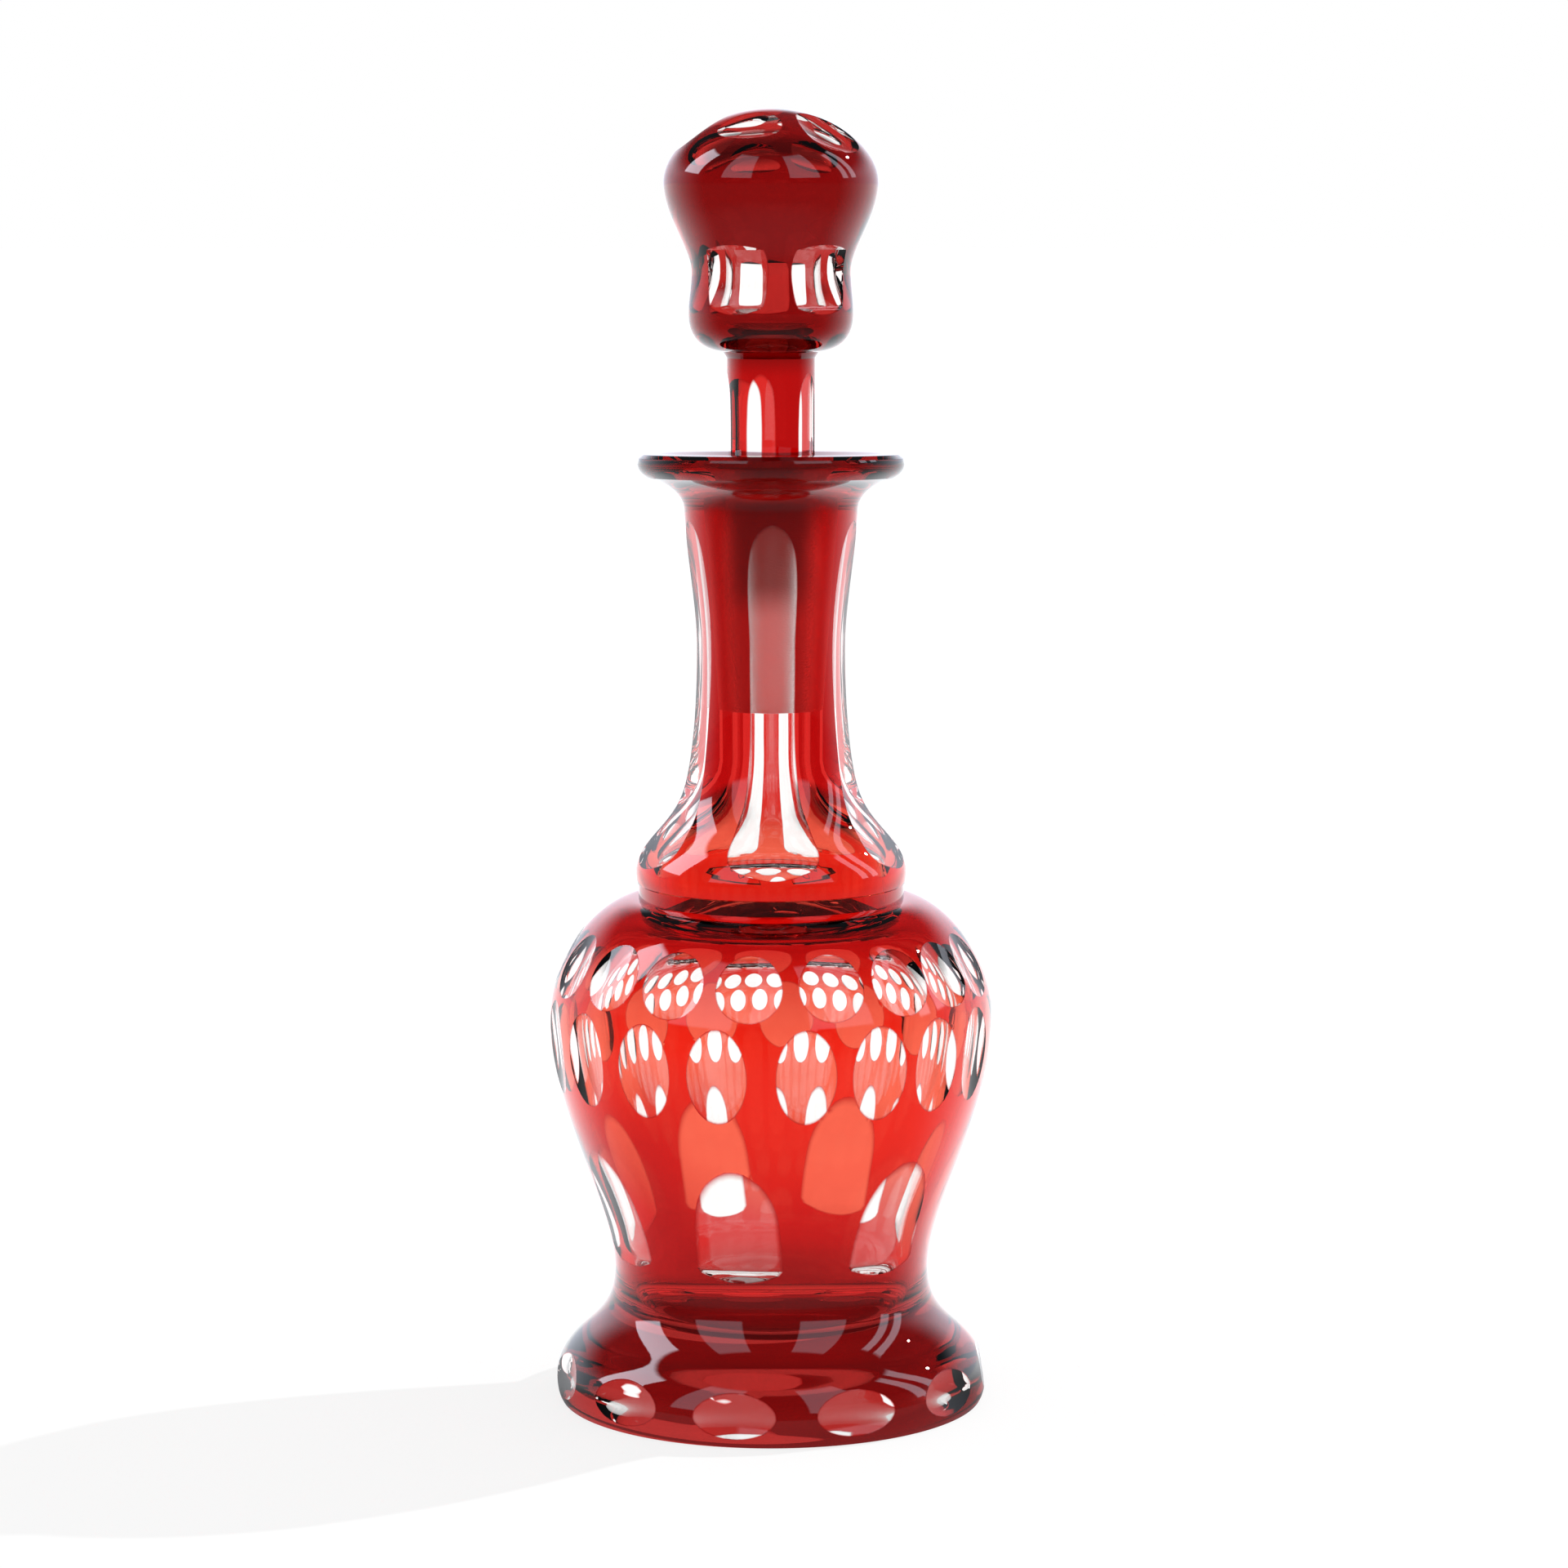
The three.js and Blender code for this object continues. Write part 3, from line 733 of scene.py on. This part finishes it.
class Graph:
    """The nodes of a material or of the world"""

    def __init__(self, owner):
        owner.use_nodes = True
        self.tree = owner.node_tree
        self.tree.nodes.clear()

    def add(self, kind, settings=None, sockets=(), output=0):
        """A node with its settings and its sockets' values or links. It hands back one of its outputs"""
        node = self.tree.nodes.new(kind)
        for name, value in (settings or {}).items():
            setattr(node, name, value)
        pairs = sockets.items() if isinstance(sockets, dict) else enumerate(sockets)
        for name, value in pairs:
            if isinstance(value, Link):
                self.tree.links.new(value.socket, node.inputs[name])
            else:
                node.inputs[name].default_value = value
        return Link(self, node.outputs[output]) if node.outputs else None

    def blend(self, factor, first, second):
        """A colour that goes from the first to the second as the factor goes from 0 to 1"""
        return self.add("ShaderNodeMix", {"data_type": "RGBA"}, {0: factor, 6: first, 7: second}, output=2)

    def coordinates(self, kind):
        return self.add("ShaderNodeTexCoord", output=kind)

    def place(self, scale=(1, 1, 1)):
        """Object coordinates, stretched by a scale"""
        return self.add("ShaderNodeMapping", {}, {"Vector": self.coordinates("Object"), "Scale": scale})

    def split(self, vector, axes):
        """The named axes of a vector"""
        return [self.add("ShaderNodeSeparateXYZ", {}, [vector], output=axis) for axis in axes]

    def reach(self, vector):
        """Length of a vector"""
        return self.add("ShaderNodeVectorMath", {"operation": "LENGTH"}, [vector], output="Value")

    def azimuth(self, east, north):
        """Angle round the vertical axis, from the front, below 0 on the left"""
        return east.math("ARCTAN2", east, north * -1.0)

    def rays(self):
        """1 for the light that the camera sees, that the gloss shows, and that comes through the glass"""
        camera, glossy, through = (
            self.add("ShaderNodeLightPath", output=f"Is {kind} Ray")
            for kind in ("Camera", "Glossy", "Transmission")
        )
        return camera, glossy * (1 - through), through

    def noise(self, vector, scale, detail=2.0, roughness=0.5):
        sockets = {"Vector": vector, "Scale": scale, "Detail": detail, "Roughness": roughness}
        return self.add("ShaderNodeTexNoise", {}, sockets, output="Fac")

    def bump(self, height, strength, distance):
        sockets = {"Strength": strength, "Distance": distance, "Height": height}
        return self.add("ShaderNodeBump", {}, sockets)

    def finish(self, shader, kind="ShaderNodeOutputMaterial"):
        self.add(kind, {}, {"Surface": shader})


def glass_shader(graph, glass, colour, roughness, normal):
    return graph.add("ShaderNodeBsdfPrincipled", {}, {
        "Base Color": colour, "Roughness": roughness, "Normal": normal,
        "IOR": glass.index, "Transmission Weight": 1.0,
    }, output="BSDF")


def wavy(graph, strength, scale):
    """A faint unevenness, as on glass that was blown and polished by hand"""
    swell = graph.noise(graph.place((1, 1, 0.6)), scale, detail=1.0)
    return graph.bump(swell, strength, distance=0.001)


def ruby_casing(glass):
    """The ruby layer, thinner and brighter where the belly was blown out. A band under the collar and the
    lip's top are darkened as painted shade, and the foot's deeper casing is darkened further as painted
    shade
    """
    material = bpy.data.materials.new("ruby_casing")
    graph = Graph(material)
    east, height = graph.split(graph.coordinates("Object"), "XZ")
    left = 1 - east.fade(*LEFT_SIDE)
    # Painted shade: a band under the collar gets the darker thick casing in place of the blown belly's
    shoulder = height.fade(*SHOULDER_SHADE_STARTS) * (1 - height.fade(*SHOULDER_SHADE_ENDS))
    belly = (height - left * LEFT_RAISE).fade(*BLOWN_STARTS) * (1 - height.fade(*BLOWN_ENDS))
    radius = graph.reach(graph.place((1, 1, 0)))
    # Painted shade: the lip's top, out from these radii, is darkened with the deep casing
    lip = height.fade(*LIP_STARTS) * (1 - height.fade(*LIP_ENDS)) * radius.fade(*LIP_RADII)
    # Deep ruby on the foot, a deeper casing with painted shade, and on the lip's top as painted shade
    deep = lip + 1 - height.fade(*FOOT_ENDS)
    streaks = graph.noise(graph.place((1, 1, 0.25)), scale=60.0, detail=3.0)
    # The blown belly's brighter casing, except in the painted shade band under the collar
    colour = graph.blend(belly * (1 - shoulder), tuple(glass.thick_ruby), tuple(glass.ruby))
    colour = graph.blend(height.fade(*STOPPER_STARTS), colour, tuple(glass.dark_ruby))
    colour = graph.blend(deep, colour, tuple(glass.deep_ruby))
    streaks = streaks.fade(*STREAK_RANGE) * STREAK_STRENGTH
    colour = graph.blend(streaks, colour, tuple(glass.thick_ruby))
    graph.finish(glass_shader(graph, glass, colour, POLISHED, wavy(graph, strength=0.04, scale=45.0)))
    return material


def cut_crystal(glass):
    """Clear glass of a cut, with the ruby layer running out at its edge"""
    material = bpy.data.materials.new("cut_crystal")
    graph = Graph(material)
    depth = graph.add("ShaderNodeAttribute", {"attribute_name": "depth"}, output="Fac")
    casing = 1 - depth.fade(0.0, glass.casing)
    colour = graph.blend(casing, tuple(glass.crystal), tuple(glass.thick_ruby))
    graph.finish(glass_shader(graph, glass, colour, POLISHED, wavy(graph, strength=0.05, scale=120.0)))
    return material


def inner_crystal(glass):
    """Clear glass of the hollow and the underside"""
    material = bpy.data.materials.new("inner_crystal")
    graph = Graph(material)
    colour = graph.blend(graph.noise(graph.place(), scale=20.0), tuple(glass.crystal), WHITE)
    graph.finish(glass_shader(graph, glass, colour, POLISHED, wavy(graph, strength=0.08, scale=35.0)))
    return material


def ground_glass(name, glass, upper):
    """Clear glass that was ground matt, with a darker colour towards the mouth that is painted shade"""
    material = bpy.data.materials.new(name)
    graph = Graph(material)
    grain = graph.noise(graph.place((1, 1, 3)), scale=900.0, detail=3.0, roughness=0.7)
    normal = graph.bump(grain, strength=0.4, distance=0.0002)
    [height] = graph.split(graph.coordinates("Object"), "Z")
    colour = graph.blend(grain, tuple(glass.crystal), GRAIN_WHITE)
    # Painted shade: the ground glass turns to its darker upper colour towards the mouth
    colour = graph.blend(height.fade(*GROUND_SHADE_CHANGE), colour, tuple(upper))
    roughness = glass.ground_roughness + (grain - 0.5) * GRAIN_ROUGHNESS
    graph.finish(glass_shader(graph, glass, colour, roughness, normal))
    return material


def ground_peg(glass):
    return ground_glass("ground_peg", glass, glass.peg)


def ground_bore(glass):
    """The bore's upper half lies behind the thickest casing; its darker colour there is painted shade, for
    the little light that reaches it
    """
    return ground_glass("ground_bore", glass, glass.bore)


def glass_materials(glass, ground):
    """The finishes in the order of their numbers. Each has its maker's name, and the pieces share all but
    the ground one"""
    makers = (ruby_casing, cut_crystal, inner_crystal, ground)
    return [bpy.data.materials.get(maker.__name__) or maker(glass) for maker in makers]


def carafe_groups(context):
    """Sizes of the bottle, sizes of the stopper, cuts and glass"""
    carafe = context.scene.carafe
    return carafe.bottle, carafe.stopper, carafe.cuts, carafe.glass


class CARAFE_OT_bottle(bpy.types.Operator):
    """Make the cased and cut bottle"""

    bl_idname = "carafe.bottle"
    bl_label = "Bottle"

    def execute(self, context):
        b, s, cuts, glass = carafe_groups(context)
        h = Stations(b, s)
        outside = bottle_outline(b, h)
        bottle = spin_outline("bottle", [
            ([at(0, 0), at(b.cased_base, 0)], CASED),
            (trace(at(b.cased_base, 0), [[outside[0]]], BASE_SPACING), INSIDE),
            (outside, CASED),
            (bore_outline(b, s, h), GROUND),
            (cavity_outline(b, s, h), INSIDE),
        ], b.sides, glass_materials(glass, ground_bore))
        lean_lip(bottle, h, b.lip_lean)
        guide = Guide(outside)
        panel = FlatCut(raised(PANEL_WIDTHS, h.waist), low_step=cuts.panel_step, bulge=cuts.panel_bulge)
        flute = FlatCut(
            raised(FLUTE_FOOT_WIDTHS, h.flare) + [(h.neck, NECK_FLUTE_WIDTH * MM)]
            + raised(FLUTE_HEAD_WIDTHS, h.lip_top), low_step=cuts.flute_step,
        )
        cut_ring(bottle, guide, "foot_cuts", lens(cuts.foot, 0),
                 ring(cuts.foot_count, cuts.foot_first), rows=18, columns=24)
        cut_ring(bottle, guide, "round_cuts", lens(cuts.round, h.belly),
                 ring(cuts.belly_count, cuts.round_first, ROUND_SHIFTS), rows=18, columns=18)
        cut_ring(bottle, guide, "oval_cuts", lens(cuts.oval, h.belly),
                 ring(cuts.belly_count, cuts.oval_first, OVAL_SHIFTS), rows=22, columns=16)
        cut_ring(bottle, guide, "arched_cuts", panel,
                 ring(cuts.panel_count, cuts.panel_first, PANEL_SHIFTS), rows=30, columns=18)
        cut_ring(bottle, guide, "neck_flutes", flute,
                 ring(cuts.flute_count, cuts.flute_first), rows=70, columns=18)
        glass_shading(bottle, guide)
        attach(bottle, "bottle")
        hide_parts("bottle_crystal", "bottle_ruby_layer")
        return {"FINISHED"}


class CARAFE_OT_stopper(bpy.types.Operator):
    """Make the cased and cut stopper with its ground peg"""

    bl_idname = "carafe.stopper"
    bl_label = "Stopper"

    def execute(self, context):
        b, s, cuts, glass = carafe_groups(context)
        h = Stations(b, s)
        outside = stopper_outline(s, h)
        peg_end = at(s.peg_radius - s.peg_length * s.peg_taper, h.peg_end)
        materials = glass_materials(glass, ground_peg)
        stopper = spin_outline("stopper", [
            ([at(0, h.peg_end), peg_end], INSIDE),
            (trace(peg_end, [[at(s.peg_radius, h.peg_top)]], GROUND_SPACING), GROUND),
            (outside, CASED),
        ], s.sides, materials)
        cut_away(stopper, spin_outline("hollow", [(hollow_outline(s, h), INSIDE)], s.sides, materials))
        guide = Guide(outside)
        domes = ring(cuts.flute_count, cuts.dome_first)
        window = FlatCut(
            raised(WINDOW_WIDTHS, h.stopper_waist), low_step=cuts.window_step, high_step=cuts.window_step
        )
        flute = FlatCut(
            raised([(SHANK_FLUTE_START, SHANK_FLUTE_WIDTH)], h.peg_top) + raised(SHANK_WIDTHS, h.cup_foot),
            low_step=cuts.shank_step,
        )
        cut_ring(stopper, guide, "dome_cuts", lens(cuts.dome, h.head), domes[1:], rows=18, columns=18)
        cut_ring(stopper, guide, "small_dome_cut", lens(cuts.small_dome, h.head), domes[:1],
                 rows=18, columns=18)
        cut_ring(stopper, guide, "windows", window,
                 ring(cuts.flute_count, cuts.window_first, WINDOW_SHIFTS), rows=26, columns=18)
        cut_ring(stopper, guide, "shank_flutes", flute,
                 ring(cuts.flute_count, cuts.shank_first), rows=30, columns=10)
        glass_shading(stopper, guide)
        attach(stopper, "stopper")
        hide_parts("stopper_crystal", "stopper_ruby_layer")
        return {"FINISHED"}


def pane(azimuth, rise, start, end, foot, head, light):
    """A window between two azimuths and two rises"""
    start, end, soft = (math.radians(degrees) for degrees in (start, end, PANE_SOFT_SIDE))
    across = azimuth.fade(start, start + soft) * (1 - azimuth.fade(end - soft, end))
    below_head = 1 - rise.fade(head - PANE_SOFT_HEAD, head)
    return across * rise.fade(foot, foot + PANE_SOFT_FOOT) * below_head * light


def sweep(azimuth):
    """How bright the white table and backdrop show in the gloss, from the front round to the back"""
    start, end = (math.radians(degrees) for degrees in SWEEP_AZIMUTHS)
    return abs(azimuth).fade(start, end) * SWEEP_LIGHT


def room_gloss(azimuth, rise):
    """The room as the gloss shows it, with a window on each side of the front and others at its sides"""
    light = ROOM_LIGHT + sweep(azimuth) * (1 - rise.fade(*SWEEP_RISES))
    light = light + pane(abs(azimuth), rise, *FRONT_PANE)
    for sizes in SIDE_PANES:
        light = light + pane(azimuth, rise, *sizes)
    return light


def white_room(world):
    """A white backdrop seen through the glass, and in its gloss a dark room with windows"""
    graph = Graph(world)
    east, north, rise = graph.split(graph.coordinates("Generated"), "XYZ")
    camera, gloss, through = graph.rays()
    backdrop = BACKDROP_LIGHT - rise.fade(*BACKDROP_RISES) * BACKDROP_LOSS
    level = camera + through * backdrop + gloss * room_gloss(graph.azimuth(east, north), rise)
    level = level + (1 - camera - through - gloss) * FILL_LIGHT
    tint = graph.blend(gloss, WHITE, ROOM_TINT)
    light = graph.add("ShaderNodeBackground", {}, {"Color": tint, "Strength": level})
    graph.finish(light, "ShaderNodeOutputWorld")


def white_table():
    """White table that keeps a pale shadow, has a painted contact shadow under the foot where it is seen
    through the glass, and shows dimly in the gloss of what stands on it
    """
    material = bpy.data.materials.new("white_table")
    graph = Graph(material)
    camera, gloss, through = graph.rays()
    spot = graph.place()
    east, north = graph.split(spot, "XY")
    radius = graph.reach(spot)
    bright = TABLE_LIGHT - radius.fade(*TABLE_RADII) * TABLE_LOSS + sweep(graph.azimuth(east, north))
    # Painted contact shadow: seen through the glass, the table's own light is dimmer under the foot
    shine = camera + through * (UNDER_LIGHT + radius.fade(*UNDER_RADII) * UNDER_GAIN)
    table = graph.add("ShaderNodeBsdfDiffuse", {}, {"Color": TABLE_GREY})
    glow = graph.add("ShaderNodeEmission", {}, {"Color": WHITE, "Strength": shine})
    dim = graph.add("ShaderNodeEmission", {}, {"Color": TABLE_TINT, "Strength": bright})
    lit = graph.add("ShaderNodeMixShader", {}, [(camera + through) * TABLE_SHARE, table, glow])
    graph.finish(graph.add("ShaderNodeMixShader", {}, [gloss, lit, dim]))
    return material


def make_table():
    bm = bmesh.new()
    bmesh.ops.create_grid(bm, x_segments=1, y_segments=1, size=TABLE_SIZE)
    bmesh.ops.translate(bm, verts=bm.verts[:], vec=(0, 0, -TABLE_DROP))
    return finish_mesh("table", bm, [white_table()])


def make_sun():
    light = bpy.data.lights.new("sun", "SUN")
    light.energy = SUN_STRENGTH
    light.angle = math.radians(SUN_WIDTH)
    sun = bpy.data.objects.new("sun", light)
    sun.rotation_mode = "QUATERNION"
    sun.rotation_quaternion = Vector(SUN_FROM).to_track_quat("Z", "Y")
    return sun


def make_camera():
    optics = bpy.data.cameras.new("camera")
    optics.lens = CAMERA_LENS
    optics.sensor_width = SENSOR_WIDTH
    camera = bpy.data.objects.new("camera", optics)
    camera.location = CAMERA_PLACE
    camera.rotation_euler = (math.radians(90 - CAMERA_PITCH), 0, 0)
    return camera


class CARAFE_OT_stage(bpy.types.Operator):
    """Make the table, the lights, the room and the camera"""

    bl_idname = "carafe.stage"
    bl_label = "Stage"

    def execute(self, context):
        scene = context.scene
        make_table()
        scene.world = bpy.data.worlds.new("room")
        white_room(scene.world)
        scene.collection.objects.link(make_sun())
        scene.camera = make_camera()
        scene.collection.objects.link(scene.camera)
        scene.view_settings.view_transform = "Standard"
        return {"FINISHED"}


class CARAFE_PT_panel(bpy.types.Panel):
    """Lists the sizes, colours and pieces of the carafe"""

    bl_label = "Carafe"
    bl_idname = "CARAFE_PT_panel"
    bl_space_type = "VIEW_3D"
    bl_region_type = "UI"
    bl_category = "Carafe"

    def draw(self, context):
        for group in carafe_groups(context):
            box = self.layout.box()
            for name in group.__annotations__:
                box.prop(group, name)
        for operator in (CARAFE_OT_bottle, CARAFE_OT_stopper, CARAFE_OT_stage):
            self.layout.operator(operator.bl_idname)


CLASSES = (
    BottleSizes, StopperSizes, CutSizes, GlassColours, CarafeSettings,
    CARAFE_OT_bottle, CARAFE_OT_stopper, CARAFE_OT_stage, CARAFE_PT_panel,
)


def register():
    for cls in CLASSES:
        bpy.utils.register_class(cls)
    bpy.types.Scene.carafe = PointerProperty(type=CarafeSettings)


def unregister():
    del bpy.types.Scene.carafe
    for cls in reversed(CLASSES):
        bpy.utils.unregister_class(cls)


def main():
    register()
    bpy.ops.carafe.bottle()
    bpy.ops.carafe.stopper()
    bpy.ops.carafe.stage()


if __name__ == "__main__":
    main()
